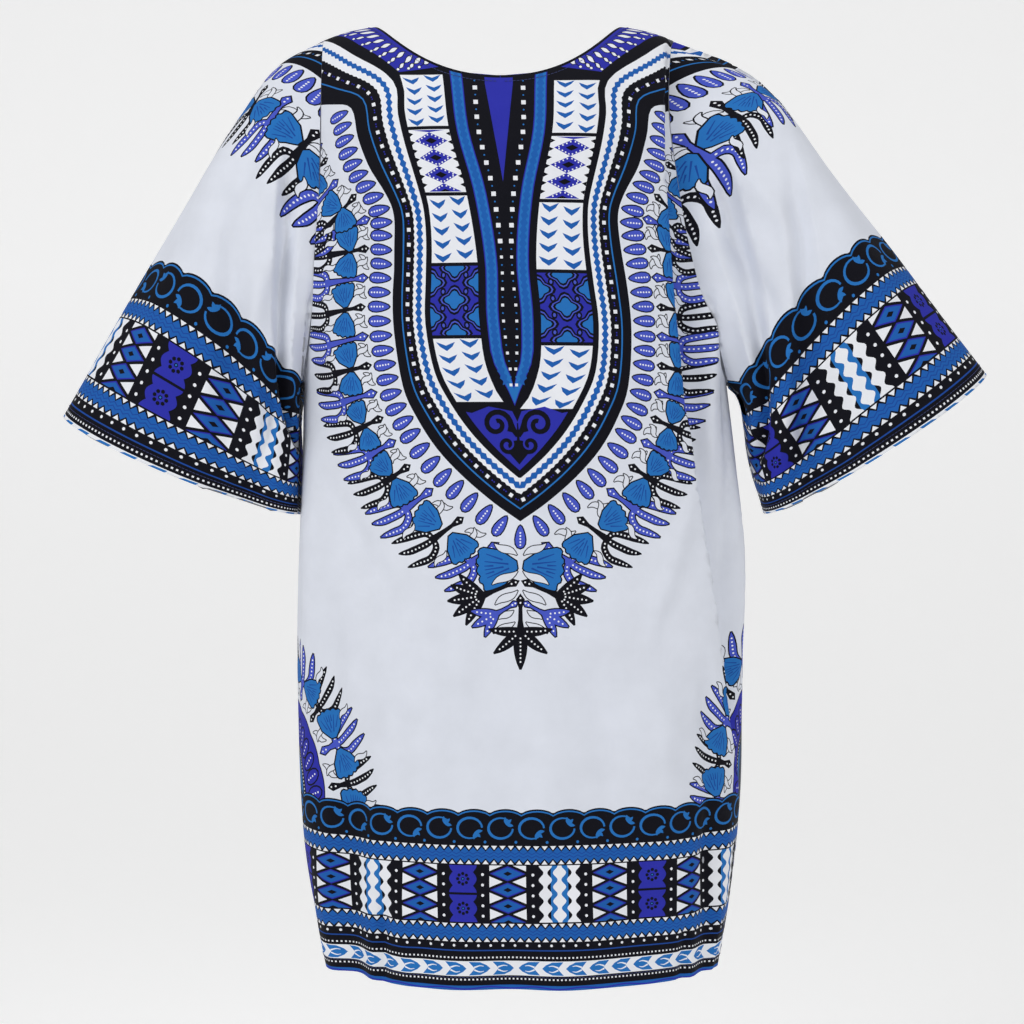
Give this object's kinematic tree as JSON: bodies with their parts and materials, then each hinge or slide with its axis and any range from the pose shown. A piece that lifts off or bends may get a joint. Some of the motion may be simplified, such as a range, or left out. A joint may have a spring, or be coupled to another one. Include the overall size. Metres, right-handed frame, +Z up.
{
  "type": "dashiki shirt",
  "caption": "Hollow worn-form dashiki tunic: printed cotton back and front, two wide elbow-length sleeves, turned neck facing.",
  "frame": {"origin": "on the shoulder line between the neck points, at the height of the shoulder seams, where the wearer's shoulders hold the garment up", "axes": "+Z up, +Y the way the wearer faces, +X to the wearer's right"},
  "size_m": [0.819, 0.2426, 0.8387],
  "materials": {
    "printed_cotton": "plain-weave cotton, white ground with a blue and black wax-style print, matt with a slight calendered sheen",
    "blue_cotton": "plain-weave royal blue cotton, matt"
  },
  "bodies": {
    "root": {"back_panel": "printed_cotton", "front_panel": "printed_cotton", "sleeve_left": "printed_cotton", "sleeve_right": "printed_cotton", "neck_facing": "blue_cotton"}
  },
  "joints": []
}
